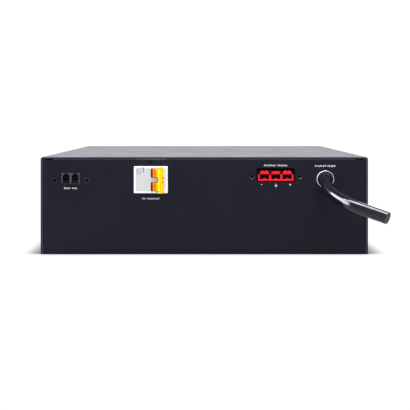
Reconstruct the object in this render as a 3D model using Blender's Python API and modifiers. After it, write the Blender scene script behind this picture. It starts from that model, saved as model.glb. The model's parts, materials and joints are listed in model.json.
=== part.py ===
"""External battery pack for a rack UPS, three rack units high.

The rear panel faces -Y and the snap-off bezel faces +Y. +Z is up, and the
origin is on the underside, at the middle of the case. All lengths are metres.
"""

import math

import bmesh
import bpy
from mathutils import Matrix, Vector

# Case
WIDTH = 0.438
HEIGHT = 0.130
DEPTH = 0.594
BEZEL_DEPTH = 0.022
SHEET = 0.0015
GAP = 0.0003
SHEET_EDGE = 0.0004
COVER_BEND = 0.003
TRAY_LIP = 0.015
UNDERSIDE_LIFT = 0.0004
THROUGH = 0.001
PANEL_RIM = 0.0009
PANEL_PROUD = 0.0006
HEM_SIDE = 0.0036
HEM_TOP = 0.0026
HEM_BEND = 0.0006
HEM_DEPTH = 0.0010
HEM_ROUND = 0.0006
HEM_SPACE = 0.0008
RIM_RELIEF = Vector((0.0115, 0.0012))

REAR = -DEPTH / 2
FRONT = DEPTH / 2
CHASSIS_FRONT = FRONT - BEZEL_DEPTH
PANEL_BACK = REAR + SHEET
BEHIND_PANEL = PANEL_BACK + GAP
PANEL_HALF = WIDTH / 2 - SHEET - GAP
PANEL_TOP = HEIGHT - SHEET - GAP
REAR_PANEL_HALF = WIDTH / 2 - HEM_SIDE - HEM_SPACE
REAR_PANEL_TOP = HEIGHT - HEM_TOP - GAP
FLOOR = SHEET + GAP
INSULATION = Vector((0.400, 0.0005))

# Screw holes for rack ears, in both sides of the cover
EAR_HOLE = 0.0021
EAR_Y = (0.222, 0.252)
EAR_Z = (0.030, 0.100)

# Batteries: 12 V, 9 Ah sealed lead-acid, long side front to back
BATTERY = Vector((0.065, 0.151, 0.094))
BATTERY_TERMINAL = Vector((0.005, 0.0075, 0.0065))
TERMINAL_INSET = 0.004
BATTERY_SPACE = 0.0005
TRAY_COLUMNS = 3
TRAY_ROWS = 3
TRAY_WALL = 0.0012
TRAY_WALL_HEIGHT = 0.045
TRAY_FROM_MIDDLE = 0.004
TRAY_FRONT = CHASSIS_FRONT - 2 * SHEET - 0.001
TRAY_DEPTH = TRAY_ROWS * (BATTERY.y + BATTERY_SPACE) + BATTERY_SPACE + 2 * TRAY_WALL
TRAY_BACK = TRAY_FRONT - TRAY_DEPTH

# Breaker: two poles stacked, their length across the case
BREAKER_X = -0.0714
BREAKER_Z = 0.0997
POLE_WIDTH = 0.018
NOSE_LENGTH = 0.045
NOSE_HEIGHT = 0.022
NOSE_PROUD = 0.004
POLE_LENGTH = 0.085
POLE_DEPTH = 0.046
POLE_EDGE = 0.0006
RAIL_WIDTH = 0.035
RAIL_DEPTH = 0.0075
RAIL_CROWN = 0.025
RAIL_SHEET = 0.001
RAIL_SLOT = 0.005
RAIL_Z = (0.0790, 0.1195)
BRACKET_WIDTH = 0.040
BRACKET_FOOT = 0.0080
BREAKER_SCREW_Z = 0.1234
BREAKER_HEAD = 0.0019
WINDOW_SPACE = 0.0012
POLE_Z = (BREAKER_Z - POLE_WIDTH / 2, BREAKER_Z + POLE_WIDTH / 2)

# Breaker toggle: a drum with a short blade, both blades under one tie bar
PIVOT_X = -0.0656
PIVOT_Y = REAR - NOSE_PROUD + 0.002
DRUM_RADIUS = 0.0056
DRUM_LENGTH = 0.0112
DRUM_SPACE = 0.0004
BLADE_THICKNESS = 0.0046
BLADE_INSET = 0.0006
TOGGLE_ANGLE = math.radians(43)
BLADE_REACH = 0.0084
TIE_INNER = 0.0087
TIE_OUTER = 0.0131
TIE_WIDTH = 0.0072
TIE_LENGTH = 0.0358
TIE_EDGE = 0.0010

# Output connector: three poles side by side
OUTPUT_X = 0.0956
OUTPUT_BOTTOM = 0.09815
OUTPUT_TOP = 0.1122
OUTPUT_WIDTH = 0.0473
OUTPUT_DEPTH = 0.048
POLE_PITCH = 0.0152
CAVITY = Vector((0.0124, 0.022, 0.0065))
CAVITY_BOTTOM = 0.1005
TONGUE_BOTTOM = 0.1069
MIDDLE_TONGUE_TOP = 0.1110
TONGUE_WIDTH = 0.0116
TONGUE_REACH = 0.012
DIP_RADIUS = 0.0017
SHOULDER_RADIUS = 0.0020
DIP_RISE = 0.0004
OUTPUT_CUTOUT_HALF = 0.0258
OUTPUT_CUTOUT_Z = (0.0961, 0.1150)
OUTPUT_BRACKET = Vector((0.0780, 0.0260))
OUTPUT_SCREW_X = (0.0637, 0.1276)
OUTPUT_SCREW_Z = 0.1033
OUTPUT_SHANK = 0.0018
OUTPUT_HEAD = 0.0027
OUTPUT_SETBACK = 0.0002
SCREW_LENGTH = 0.008
SCREW_RISE = 0.0016
SCREW_EDGE = 0.0010
SCREW_SOCKET = 0.0013
SCREW_SOCKET_SHARE = 0.42
SCREW_CROWN_SHARE = 0.8
BLADE = Vector((0.0080, 0.0450, 0.0016))
BLADE_Z = 0.1036
BLADE_RECESS = 0.0160

# Double phone-type jack
JACK_X = -0.1787
JACK_Z = 0.1012
JACK_SIZE = Vector((0.0242, 0.0188, 0.0151))
JACK_PROUD = 0.0008
JACK_PITCH = 0.0120
JACK_SCREW_X = (-0.1998, -0.1571)
JACK_SCREW_Z = 0.0986
JACK_CAVITY_DEPTH = 0.013
JACK_CAVITY_RISE = 0.0004
JACK_OPENING = ((0.0044, -0.0034), (0.0044, 0.0034), (0.0013, 0.0066))
JACK_LEDGE = (-0.0064, -0.0028)
JACK_LEDGE_DEPTH = 0.0034
JACK_BOARD = Vector((0.053, 0.0016, 0.032))
STANDOFF_RADIUS = 0.0028
SMALL_SHANK = 0.0013
JACK_HEAD = 0.0030

# Cable gland and cable
GLAND_X = 0.1617
GLAND_Z = 0.1004
GLAND_RING_RADIUS = 0.0116
GLAND_RING_BORE = 0.0107
BUSHING_RADIUS = 0.0104
GLAND_RING_DEPTH = 0.0034
GLAND_RING_EDGE = 0.0004
BUSHING_LIP = ((0.0, 0.0024), (0.0012, 0.0042))
BUSHING_PROUD = 0.0046
BUSHING_BACK = 0.0100
LOCKNUT_RADIUS = 0.0150
LOCKNUT_THICKNESS = 0.005
CABLE_RADIUS = 0.0077
CABLE_KNOTS = (
    (0.0, 0.012, 0.0),
    (0.0, 0.0, 0.0),
    (0.0, -0.007, 0.0),
    (0.0, -0.016, 0.0),
    (-0.0010, -0.042, -0.0095),
    (0.0085, -0.073, -0.0195),
    (0.0270, -0.102, -0.0287),
    (0.0635, -0.123, -0.0412),
)

# Bezel
BEZEL_WALL = 0.0022
BEZEL_ROUND = 0.0045
BEZEL_LIFT = 0.0010
GRIP_X = 0.190
GRIP_SIZE = Vector((0.018, 0.052))
LOUVRE_SIZE = Vector((0.050, 0.005))
LOUVRE_COLUMNS = 2
LOUVRE_ROWS = 9
LOUVRE_START = 0.078
LOUVRE_SPACING = 0.057
LOUVRE_PITCH = 0.011

# Snap studs of the bezel
STUD_X = 0.209
STUD_Z = (0.026, 0.112)
STUD_HOLE = 0.0037
STUD_BOSS = 0.0045
STUD_COLLAR = 0.0026
STUD_COLLAR_LENGTH = 0.002
STUD_NECK = 0.0015
STUD_BALL = 0.0029
STUD_REACH = 0.0075

# Fuse and leads
FUSE_X = 0.035
FUSE_Y = (-0.262, -0.198)
FUSE_BASE = Vector((0.036, 0.012))
FUSE_CLIP = Vector((0.020, 0.003, 0.028))
FUSE_CLIP_INSET = 0.006
FUSE_RADIUS = 0.009
FUSE_Z = FLOOR + 0.026
LEAD_RADIUS = 0.003
LEAD_ENTRY = 0.041


def clear_scene():
    for old in list(bpy.data.objects):
        bpy.data.objects.remove(old, do_unlink=True)


clear_scene()
AXES = {"X": Vector((1.0, 0.0, 0.0)), "Y": Vector((0.0, 1.0, 0.0)), "Z": Vector((0.0, 0.0, 1.0))}
PARTS = bpy.data.collections.new("server_rack_battery")
CUTTERS = bpy.data.collections.new("cutters")
bpy.context.scene.collection.children.link(PARTS)
bpy.context.scene.collection.children.link(CUTTERS)


# ---------------------------------------------------------------- materials

def finish(name, colour, roughness, metallic=0.0):
    """A plain Principled material."""
    made = bpy.data.materials.new(name)
    made.use_nodes = True
    shader = made.node_tree.nodes["Principled BSDF"]
    shader.inputs["Base Color"].default_value = (*colour, 1.0)
    shader.inputs["Roughness"].default_value = roughness
    shader.inputs["Metallic"].default_value = metallic
    return made


PAINTED_STEEL = finish("painted_steel", (0.020, 0.020, 0.028), 0.45)
PLATED_STEEL = finish("plated_steel", (0.55, 0.56, 0.58), 0.35, 1.0)
BLACK_PLASTIC = finish("black_plastic", (0.018, 0.018, 0.022), 0.50)
BATTERY_CASE = finish("battery_case", (0.05, 0.05, 0.055), 0.60)
BREAKER_WHITE = finish("breaker_white", (0.78, 0.78, 0.79), 0.45)
TOGGLE_ORANGE = finish("toggle_orange", (0.85, 0.27, 0.01), 0.45)
TIE_YELLOW = finish("tie_yellow", (0.93, 0.72, 0.03), 0.45)
CONNECTOR_RED = finish("connector_red", (0.80, 0.02, 0.04), 0.40)
CONTACT_SILVER = finish("contact_silver", (0.75, 0.74, 0.70), 0.25, 1.0)
JACK_GREY = finish("jack_grey", (0.060, 0.060, 0.065), 0.55)
BOARD_GREEN = finish("board_green", (0.02, 0.16, 0.06), 0.50)
SCREW_BLACK = finish("screw_black", (0.03, 0.03, 0.035), 0.35, 0.6)
RING_GREY = finish("ring_grey", (0.62, 0.63, 0.65), 0.35)
RUBBER = finish("rubber", (0.015, 0.015, 0.017), 0.60)
CABLE_BLACK = finish("cable_black", (0.012, 0.012, 0.014), 0.20)
CLEAR_SHEET = finish("insulation_sheet", (0.70, 0.66, 0.50), 0.50)
FUSE_CERAMIC = finish("fuse_ceramic", (0.75, 0.72, 0.66), 0.60)
LEAD_RED = finish("lead_red", (0.60, 0.02, 0.02), 0.45)
LEAD_BLACK = finish("lead_black", (0.02, 0.02, 0.02), 0.45)


# ------------------------------------------------------------------ helpers

def add_object(name, mesh, place, surface):
    """Links a mesh as one named part."""
    part = bpy.data.objects.new(name, mesh)
    part.location = place
    if surface is not None and not mesh.materials:
        mesh.materials.append(surface)
    PARTS.objects.link(part)
    return part


def hide_as_cutter(tool):
    """Moves an object to the cutters and shows it as a wire."""
    for home in list(tool.users_collection):
        home.objects.unlink(tool)
    CUTTERS.objects.link(tool)
    tool.hide_render = True
    tool.display_type = "WIRE"


def mesh_from(shape, name, smooth=False):
    """Ends a bmesh and returns it as a mesh."""
    bmesh.ops.recalc_face_normals(shape, faces=shape.faces)
    mesh = bpy.data.meshes.new(name)
    shape.to_mesh(mesh)
    shape.free()
    if smooth:
        mesh.shade_smooth()
        mesh.set_sharp_from_angle(angle=math.radians(35))
    return mesh


def middle(span):
    return (span[0] + span[1]) / 2


def add_box(name, x, y, z, surface):
    """A box between limits; x, y and z are (low, high) pairs."""
    shape = bmesh.new()
    bmesh.ops.create_cube(shape, size=1.0)
    size = Vector((x[1] - x[0], y[1] - y[0], z[1] - z[0]))
    bmesh.ops.scale(shape, vec=size, verts=shape.verts)
    place = (middle(x), middle(y), middle(z))
    return add_object(name, mesh_from(shape, name), place, surface)


def add_round(name, radius, span, place, surface, steps=32, axis="Y"):
    """A cylinder along an axis between the span's limits; place is its other two coordinates."""
    shape = bmesh.new()
    bmesh.ops.create_cone(
        shape, cap_ends=True, segments=steps, radius1=radius, radius2=radius, depth=span[1] - span[0]
    )
    centre = list(place)
    centre.insert("XYZ".index(axis), middle(span))
    turn = Vector((0.0, 0.0, 1.0)).rotation_difference(AXES[axis]).to_matrix()
    bmesh.ops.rotate(shape, matrix=turn, verts=shape.verts)
    return add_object(name, mesh_from(shape, name, smooth=True), centre, surface)


def add_prism(name, outline, y, place, surface):
    """A flat outline of (x, z) points about place, swept along Y."""
    shape = bmesh.new()
    corners = [shape.verts.new((x, y[0], z)) for x, z in outline]
    shape.faces.new(corners)
    swept = bmesh.ops.extrude_face_region(shape, geom=shape.faces[:])
    moved = [item for item in swept["geom"] if isinstance(item, bmesh.types.BMVert)]
    bmesh.ops.translate(shape, vec=(0.0, y[1] - y[0], 0.0), verts=moved)
    return add_object(name, mesh_from(shape, name), (place[0], 0.0, place[1]), surface)


def combine(target, tool, operation):
    """Cuts a target with a tool, or joins the tool to it."""
    hide_as_cutter(tool)
    step = target.modifiers.new(tool.name, "BOOLEAN")
    step.operation = operation
    step.solver = "EXACT"
    step.object = tool


def cut_box(target, label, x, y, z):
    combine(target, add_box(f"cut_{target.name}_{label}", x, y, z, None), "DIFFERENCE")


def cut_round(target, label, radius, y, place, steps=32):
    tool = add_round(f"cut_{target.name}_{label}", radius, y, place, None, steps)
    combine(target, tool, "DIFFERENCE")


def join_box(target, label, x, y, z):
    combine(target, add_box(f"join_{target.name}_{label}", x, y, z, None), "UNION")


def join_round(target, label, radius, y, place, steps=32):
    tool = add_round(f"join_{target.name}_{label}", radius, y, place, None, steps)
    combine(target, tool, "UNION")


def round_edges(part, width, segments=2, angle=40):
    """Rounds every edge sharper than the angle."""
    step = part.modifiers.new("rounded_edges", "BEVEL")
    step.width = width
    step.segments = segments
    step.limit_method = "ANGLE"
    step.angle_limit = math.radians(angle)


def thicken(part, thickness):
    """Gives an open sheet its thickness, inwards from its drawn face."""
    step = part.modifiers.new("sheet_thickness", "SOLIDIFY")
    step.thickness = thickness
    step.offset = -1.0
    step.use_even_offset = True


def arc(centre, radius, start, end, steps):
    """Points of an arc in a plane, angles in degrees."""
    points = []
    for index in range(steps + 1):
        angle = math.radians(start + (end - start) * index / steps)
        points.append((centre[0] + radius * math.cos(angle), centre[1] + radius * math.sin(angle)))
    return points


def extruded_strip(name, points, start, travel, surface):
    """An open sheet: a line of 3D points swept along a vector. Its drawn face is on the left."""
    shape = bmesh.new()
    corners = [shape.verts.new(Vector(point) + Vector(start)) for point in points]
    edges = [shape.edges.new(pair) for pair in zip(corners, corners[1:])]
    swept = bmesh.ops.extrude_edge_only(shape, edges=edges)
    moved = [item for item in swept["geom"] if isinstance(item, bmesh.types.BMVert)]
    bmesh.ops.translate(shape, vec=Vector(travel), verts=moved)
    mesh = bpy.data.meshes.new(name)
    shape.to_mesh(mesh)
    shape.free()
    return add_object(name, mesh, (0.0, 0.0, 0.0), surface)


def open_tray(name, x, y, z, thickness, surface):
    """A sheet box without a lid, drawn on its outside."""
    shape = bmesh.new()
    bmesh.ops.create_cube(shape, size=1.0)
    size = Vector((x[1] - x[0], y[1] - y[0], z[1] - z[0]))
    bmesh.ops.scale(shape, vec=size, verts=shape.verts)
    lid = [face for face in shape.faces if face.normal.z > 0.5]
    bmesh.ops.delete(shape, geom=lid, context="FACES_ONLY")
    mesh = bpy.data.meshes.new(name)
    shape.to_mesh(mesh)
    shape.free()
    tray = add_object(name, mesh, (middle(x), middle(y), middle(z)), surface)
    thicken(tray, thickness)
    return tray


def turned(name, profile, y, place, surface, steps=32):
    """A solid of revolution about the line along Y through place (x, z).

    The profile's points are (radius, distance along +Y from y). It ends on
    the axis at both ends, or it is a closed ring. Listed clockwise, its
    outer side runs down the turning axis and the faces point outwards.
    """
    following = profile[1:] + profile[:1]
    area = sum(here[0] * there[1] - there[0] * here[1] for here, there in zip(profile, following))
    if area > 0:
        profile = profile[::-1]
    shape = bmesh.new()
    ring = [shape.verts.new((radius, 0.0, along)) for radius, along in profile]
    pairs = list(zip(ring, ring[1:]))
    if min(radius for radius, along in profile) > 0:
        pairs.append((ring[-1], ring[0]))
    for pair in pairs:
        shape.edges.new(pair)
    mesh = bpy.data.meshes.new(name)
    shape.to_mesh(mesh)
    shape.free()
    part = add_object(name, mesh, (place[0], y, place[1]), surface)
    part.rotation_euler = (-math.pi / 2, 0.0, 0.0)
    step = part.modifiers.new("turned", "SCREW")
    step.axis = "Z"
    step.steps = steps
    step.render_steps = steps
    step.use_merge_vertices = True
    step.merge_threshold = 0.00001
    step.use_smooth_shade = True
    return part


def tube(name, points, radius, surface, resolution=2):
    """A round lead along a line of points, with filled ends, as a closed mesh."""
    curve = bpy.data.curves.new(name, "CURVE")
    curve.dimensions = "3D"
    curve.bevel_depth = radius
    curve.bevel_resolution = resolution
    curve.use_fill_caps = True
    line = curve.splines.new("POLY")
    line.points.add(len(points) - 1)
    for point, place in zip(line.points, points):
        point.co = (*place, 1.0)
    draft = bpy.data.objects.new(name + "_line", curve)
    PARTS.objects.link(draft)
    graph = bpy.context.evaluated_depsgraph_get()
    mesh = bpy.data.meshes.new_from_object(draft.evaluated_get(graph))
    shape = bmesh.new()
    shape.from_mesh(mesh)
    bmesh.ops.remove_doubles(shape, verts=shape.verts, dist=0.00001)
    bmesh.ops.recalc_face_normals(shape, faces=shape.faces)
    shape.to_mesh(mesh)
    shape.free()
    mesh.shade_smooth()
    mesh.set_sharp_from_angle(angle=math.radians(50))
    bpy.data.objects.remove(draft, do_unlink=True)
    return add_object(name, mesh, (0.0, 0.0, 0.0), surface)


def smooth_line(knots, per_span):
    """Points of a Catmull-Rom line through the knots."""
    knots = [Vector(knot) for knot in knots]
    padded = [knots[0] * 2 - knots[1]] + knots + [knots[-1] * 2 - knots[-2]]
    points = []
    for index in range(1, len(padded) - 2):
        before, here, there, after = padded[index - 1 : index + 3]
        for step in range(per_span):
            t = step / per_span
            points.append(
                0.5
                * (
                    2 * here
                    + (there - before) * t
                    + (2 * before - 5 * here + 4 * there - after) * t**2
                    + (3 * here - before - 3 * there + after) * t**3
                )
            )
    points.append(knots[-1])
    return points


def around(centre, half):
    return (centre - half, centre + half)


# --------------------------------------------------------------------- case

def cover_section():
    """The cover's sheet cut along the case, as (y, depth, whether the depth is from the hem's inner line)."""
    rear = REAR + PANEL_PROUD
    back = rear + HEM_DEPTH
    edge = SHEET_EDGE
    rim = arc((rear + HEM_ROUND, HEM_ROUND), HEM_ROUND, 270, 180, 3)
    hem = arc((rear + HEM_ROUND, -HEM_ROUND), HEM_ROUND, 180, 90, 3) + [(back, 0.0)]
    sheet = [(back, SHEET), (CHASSIS_FRONT - edge, SHEET), (CHASSIS_FRONT, SHEET - edge)]
    sheet += [(CHASSIS_FRONT, edge), (CHASSIS_FRONT - edge, 0.0)]
    section = [(y, deep, False) for y, deep in rim]
    section += [(y, deep, True) for y, deep in hem]
    section += [(y, deep, False) for y, deep in sheet]
    return section


def bent_line(inset, radius):
    """One side and one top corner of a line inside the cover's outline, from the bottom up."""
    half = WIDTH / 2 - inset.x
    top = HEIGHT - inset.y
    return [(half, UNDERSIDE_LIFT)] + arc((half - radius, top - radius), radius, 0, 90, 5)


def build_cover():
    """Top and both sides bent from one sheet, its rear edge turned in round the panel."""
    outer = bent_line(Vector((0.0, 0.0)), COVER_BEND)
    inner = bent_line(Vector((HEM_SIDE, HEM_TOP)), HEM_BEND)
    outward = [(1.0, 0.0)] + arc((0.0, 0.0), 1.0, 0, 90, 5)
    outline = list(zip(outer, inner, outward))
    outline += [tuple((-x, z) for x, z in corner) for corner in reversed(outline)]
    shape = bmesh.new()
    rings = []
    for outside, hem, (across, up) in outline:
        ring = []
        for y, deep, from_hem in cover_section():
            x, z = hem if from_hem else outside
            ring.append(shape.verts.new((x - across * deep, y, z - up * deep)))
        rings.append(ring)
    for here, there in zip(rings, rings[1:]):
        for index, corner in enumerate(here):
            shape.faces.new((here[index - 1], corner, there[index], there[index - 1]))
    shape.faces.new(rings[0])
    shape.faces.new(rings[-1])
    mesh = mesh_from(shape, "outer_cover")
    cover = add_object("outer_cover", mesh, (0.0, 0.0, 0.0), PAINTED_STEEL)
    for side, label in ((-1, "left"), (1, "right")):
        x = around(side * WIDTH / 2, 2 * SHEET)
        for row, y in enumerate(EAR_Y):
            for level, z in enumerate(EAR_Z):
                name = f"cut_ear_{label}_{row}_{level}"
                combine(cover, add_round(name, EAR_HOLE, x, (y, z), None, 12, "X"), "DIFFERENCE")


def build_base():
    """Floor with an upturned lip all round."""
    x = (-PANEL_HALF, PANEL_HALF)
    y = (BEHIND_PANEL, CHASSIS_FRONT - SHEET - GAP)
    base = open_tray("base_chassis", x, y, (0.0, TRAY_LIP), SHEET, PAINTED_STEEL)
    round_edges(base, SHEET_EDGE, 1, 60)


def roll_front_edges(part, radius, segments):
    """Rounds the edges of the face that looks along -Y, like a sheet's rolled rim."""
    shape = bmesh.new()
    shape.from_mesh(part.data)
    front = min(corner.co.y for corner in shape.verts)
    rim = [edge for edge in shape.edges if all(abs(end.co.y - front) < 1e-6 for end in edge.verts)]
    bmesh.ops.bevel(shape, geom=rim, offset=radius, segments=segments, profile=0.5, affect="EDGES")
    shape.to_mesh(part.data)
    shape.free()


def build_rear_panel():
    """Flat sheet with a rolled rim, a window and the cut-outs for the fittings."""
    x = (-REAR_PANEL_HALF, REAR_PANEL_HALF)
    z = (UNDERSIDE_LIFT, REAR_PANEL_TOP)
    panel = add_box("rear_panel", x, (REAR, PANEL_BACK), z, PAINTED_STEEL)
    roll_front_edges(panel, PANEL_RIM, 3)
    through = (REAR - THROUGH, PANEL_BACK + THROUGH)
    for side, label in ((-1, "left"), (1, "right")):
        x = sorted((side * WIDTH / 2, side * (REAR_PANEL_HALF - RIM_RELIEF.x)))
        cut_box(panel, f"relief_{label}", x, through, (REAR_PANEL_TOP - RIM_RELIEF.y, HEIGHT))
    half = NOSE_LENGTH / 2 + WINDOW_SPACE
    z = around(BREAKER_Z, POLE_WIDTH + WINDOW_SPACE)
    cut_box(panel, "window", around(BREAKER_X, half), through, z)
    cut_box(panel, "output", around(OUTPUT_X, OUTPUT_CUTOUT_HALF), through, OUTPUT_CUTOUT_Z)
    x = around(JACK_X, JACK_SIZE.x / 2 + GAP)
    cut_box(panel, "jacks", x, through, around(JACK_Z, JACK_SIZE.z / 2 + GAP))
    cut_round(panel, "gland", GLAND_RING_BORE, through, (GLAND_X, GLAND_Z))
    for index, x in enumerate(OUTPUT_SCREW_X):
        cut_round(panel, f"output_{index}", OUTPUT_SHANK + GAP, through, (x, OUTPUT_SCREW_Z), 16)
    for index, x in enumerate(JACK_SCREW_X):
        cut_round(panel, f"jack_{index}", SMALL_SHANK + GAP, through, (x, JACK_SCREW_Z), 16)
    place = (BREAKER_X, BREAKER_SCREW_Z)
    cut_round(panel, "breaker", SMALL_SHANK + GAP, through, place, 16)


def build_retainer():
    """Plate behind the bezel that keeps the battery trays in."""
    y = (CHASSIS_FRONT - SHEET, CHASSIS_FRONT)
    x = (-PANEL_HALF, PANEL_HALF)
    z = (UNDERSIDE_LIFT, PANEL_TOP - COVER_BEND)
    plate = add_box("battery_retainer", x, y, z, PAINTED_STEEL)
    through = (y[0] - THROUGH, y[1] + THROUGH)
    for side in (-1, 1):
        for level, z in enumerate(STUD_Z):
            place = (side * STUD_X, z)
            cut_round(plate, f"stud_{side}_{level}", STUD_HOLE, through, place, 20)


def build_bezel():
    """Plastic front shell, open at the back, with louvre slots and finger slots."""
    back = CHASSIS_FRONT + GAP
    size = Vector((WIDTH, FRONT - back, HEIGHT - BEZEL_LIFT))
    shape = bmesh.new()
    bmesh.ops.create_cube(shape, size=1.0)
    bmesh.ops.scale(shape, vec=size, verts=shape.verts)
    open_side = [face for face in shape.faces if face.normal.y < -0.5]
    bmesh.ops.delete(shape, geom=open_side, context="FACES_ONLY")
    folds = [edge for edge in shape.edges if len(edge.link_faces) == 2]
    bmesh.ops.bevel(shape, geom=folds, offset=BEZEL_ROUND, segments=3, profile=0.5, affect="EDGES")
    mesh = bpy.data.meshes.new("front_bezel")
    shape.to_mesh(mesh)
    shape.free()
    centre = (0.0, middle((back, FRONT)), BEZEL_LIFT + size.z / 2)
    bezel = add_object("front_bezel", mesh, centre, BLACK_PLASTIC)
    thicken(bezel, BEZEL_WALL)
    for side in (-1, 1):
        for level, z in enumerate(STUD_Z):
            y = (back, FRONT - BEZEL_WALL / 2)
            join_round(bezel, f"boss_{side}_{level}", STUD_BOSS, y, (side * STUD_X, z), 20)
    combine(bezel, slot_cutter(), "DIFFERENCE")


def slot_cutter():
    """All the slots of the bezel in one tool."""
    slots = []
    for side in (-1, 1):
        slots.append((side * GRIP_X, HEIGHT / 2, GRIP_SIZE))
        for column in range(LOUVRE_COLUMNS):
            for row in range(LOUVRE_ROWS):
                x = side * (LOUVRE_START + LOUVRE_SPACING * column)
                z = HEIGHT / 2 + LOUVRE_PITCH * (row - (LOUVRE_ROWS - 1) / 2)
                slots.append((x, z, LOUVRE_SIZE))
    tool = bmesh.new()
    for x, z, size in slots:
        cube = bmesh.ops.create_cube(tool, size=1.0)["verts"]
        bmesh.ops.scale(tool, vec=(size.x, BEZEL_WALL * 4, size.y), verts=cube)
        bmesh.ops.translate(tool, vec=(x, FRONT, z), verts=cube)
    return add_object("cut_bezel_slots", mesh_from(tool, "cut_bezel_slots"), (0.0, 0.0, 0.0), None)


def build_studs():
    """Ball studs that snap the bezel to the retainer plate."""
    lean = math.degrees(math.acos(STUD_NECK / STUD_BALL))
    ball = arc((0.0, -STUD_REACH), STUD_BALL, lean, -90, 5)
    step = -STUD_COLLAR_LENGTH
    profile = [(0.0, 0.0), (STUD_COLLAR, 0.0), (STUD_COLLAR, step), (STUD_NECK, step)]
    profile += ball[:-1] + [(0.0, -STUD_REACH - STUD_BALL)]
    for side, side_name in ((-1, "left"), (1, "right")):
        for z, level_name in zip(STUD_Z, ("lower", "upper")):
            name = f"bezel_stud_{side_name}_{level_name}"
            turned(name, profile, CHASSIS_FRONT, (side * STUD_X, z), PLATED_STEEL, 16)


def build_insulation():
    """Thin sheet between the battery terminals and the cover."""
    x = around(0.0, INSULATION.x / 2)
    z = (PANEL_TOP - INSULATION.y, PANEL_TOP)
    add_box("insulation_sheet", x, (TRAY_BACK, TRAY_FRONT), z, CLEAR_SHEET)


# ---------------------------------------------------------------- batteries

def battery_mesh():
    """One battery with its two raised terminals, as a finished mesh."""
    half = BATTERY / 2
    body = add_box(
        "battery_pattern", (-half.x, half.x), (-half.y, half.y), (-half.z, half.z), BATTERY_CASE
    )
    for side, label in ((-1, "left"), (1, "right")):
        x = around(side * (half.x - BATTERY_TERMINAL.x - TERMINAL_INSET), BATTERY_TERMINAL.x)
        y = around(half.y - BATTERY_TERMINAL.y - TERMINAL_INSET, BATTERY_TERMINAL.y)
        join_box(body, label, x, y, (half.z - THROUGH, half.z + BATTERY_TERMINAL.z))
    graph = bpy.context.evaluated_depsgraph_get()
    mesh = bpy.data.meshes.new_from_object(body.evaluated_get(graph))
    bpy.data.objects.remove(body, do_unlink=True)
    return mesh


def build_batteries():
    """Two trays side by side, each with three columns of three batteries."""
    mesh = battery_mesh()
    pitch = BATTERY + Vector((BATTERY_SPACE, BATTERY_SPACE, 0.0))
    inner_x = TRAY_COLUMNS * pitch.x + BATTERY_SPACE
    z = FLOOR + TRAY_WALL + GAP + BATTERY.z / 2
    number = 0
    for side, label in ((-1, "left"), (1, "right")):
        near = side * TRAY_FROM_MIDDLE
        far = side * (TRAY_FROM_MIDDLE + inner_x + 2 * TRAY_WALL)
        x = sorted((near, far))
        limits = (FLOOR, FLOOR + TRAY_WALL_HEIGHT)
        open_tray(f"battery_tray_{label}", x, (TRAY_BACK, TRAY_FRONT), limits, TRAY_WALL, PLATED_STEEL)
        for row in range(TRAY_ROWS):
            y = TRAY_BACK + TRAY_WALL + BATTERY_SPACE + BATTERY.y / 2 + row * pitch.y
            for column in range(TRAY_COLUMNS):
                number += 1
                place_x = x[0] + TRAY_WALL + BATTERY_SPACE + BATTERY.x / 2 + column * pitch.x
                add_object(f"battery_{number:02d}", mesh, (place_x, y, z), BATTERY_CASE)


# ------------------------------------------------------------------ breaker

def build_breaker():
    """Two stacked poles on a short rail, held by a bracket behind the window."""
    nose_front = REAR - NOSE_PROUD
    shoulder = nose_front + NOSE_HEIGHT
    back = shoulder + POLE_DEPTH
    for level, z_middle in (("lower", POLE_Z[0]), ("upper", POLE_Z[1])):
        z = around(z_middle, POLE_WIDTH / 2 - GAP / 2)
        x = around(BREAKER_X, POLE_LENGTH / 2)
        pole = add_box(f"breaker_pole_{level}", x, (shoulder, back), z, BREAKER_WHITE)
        join_box(pole, "nose", around(BREAKER_X, NOSE_LENGTH / 2), (nose_front, shoulder + THROUGH), z)
        x = around(BREAKER_X, RAIL_WIDTH / 2 + 2 * GAP)
        slot = (back - RAIL_SLOT, back + THROUGH)
        cut_box(pole, "rail", x, slot, (z[0] - THROUGH, z[1] + THROUGH))
        round_edges(pole, POLE_EDGE, 2, 60)
        pocket = around(z_middle, DRUM_LENGTH / 2 + DRUM_SPACE)
        radius = DRUM_RADIUS + DRUM_SPACE
        tool = add_round(f"cut_pocket_{level}", radius, pocket, (PIVOT_X, PIVOT_Y), None, 32, "Z")
        combine(pole, tool, "DIFFERENCE")
    rail_front = back - RAIL_SLOT + GAP
    build_rail(rail_front)
    build_breaker_bracket(rail_front + RAIL_DEPTH + GAP)


def build_rail(front):
    """Top-hat rail, upright, its brim to the rear."""
    brim = RAIL_WIDTH / 2
    crown = RAIL_CROWN / 2
    back = front + RAIL_DEPTH
    outline = [(brim, front, 0.0), (crown, front, 0.0), (crown, back - RAIL_SHEET, 0.0)]
    outline += [(-x, y, z) for x, y, z in reversed(outline)]
    start = (BREAKER_X, 0.0, RAIL_Z[0])
    travel = (0.0, 0.0, RAIL_Z[1] - RAIL_Z[0])
    rail = extruded_strip("din_rail", outline, start, travel, PLATED_STEEL)
    thicken(rail, RAIL_SHEET)


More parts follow.
